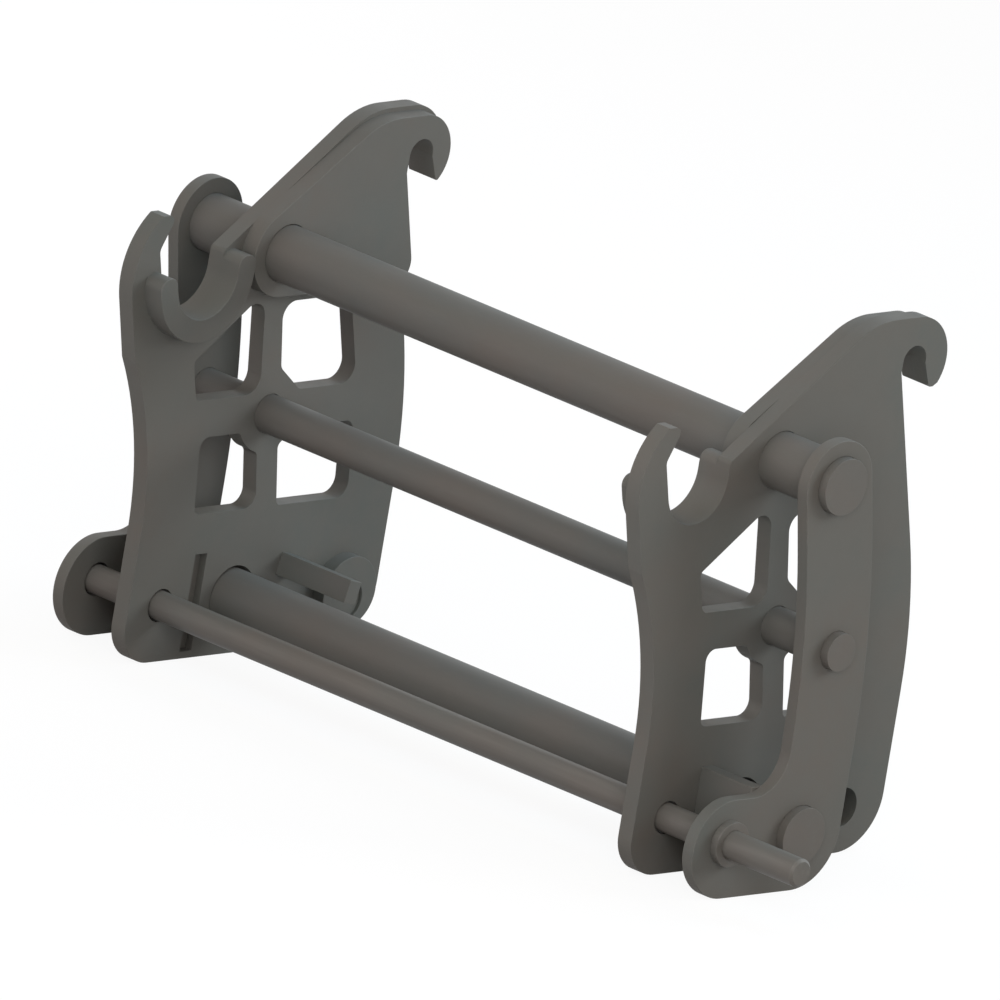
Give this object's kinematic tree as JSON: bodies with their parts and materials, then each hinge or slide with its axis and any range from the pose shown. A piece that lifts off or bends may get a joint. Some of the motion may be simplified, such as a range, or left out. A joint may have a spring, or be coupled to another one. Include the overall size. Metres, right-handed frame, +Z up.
{
  "type": "loader adapter frame",
  "caption": "Dark grey welded adapter frame with hooked side plates, cross bars, open saddles and a sliding lock rod, for carrying an implement on a farm loader.",
  "frame": {"origin": "middle of the top cross bar, on its axis and halfway between the side plates", "axes": "+X along the cross bars towards the lock rod's handle end, +Y back towards the loader and the hooks, +Z up"},
  "size_m": [1.103, 0.4635, 0.5995],
  "materials": {
    "painted_plate": "matt",
    "painted_bar": "matt",
    "painted_rod": "satin"
  },
  "bodies": {
    "frame": {"side_plate_left": "painted_plate", "side_plate_right": "painted_plate", "hook_doubler_left": "painted_plate", "hook_doubler_right": "painted_plate", "saddle_ring_left": "painted_plate", "saddle_ring_right": "painted_plate", "link_plate_left": "painted_plate", "link_plate_right": "painted_plate", "stop_plate_left": "painted_plate", "stop_plate_right": "painted_plate", "pin_boss_left": "painted_plate", "pin_boss_right": "painted_plate", "socket_disc_left": "painted_plate", "socket_disc_right": "painted_plate", "guide_bar_left": "painted_plate", "guide_bar_right": "painted_plate", "top_cross_bar": "painted_bar", "middle_cross_bar": "painted_bar", "bottom_cross_bar": "painted_bar"},
    "lock_rod": {"lock_rod": "painted_rod", "rod_collar": "painted_rod"}
  },
  "joints": [
    {"name": "lock_rod_slide", "type": "slide", "parent": "frame", "child": "lock_rod", "axis": [1, 0, 0], "range_m": [0, 0.975]}
  ]
}
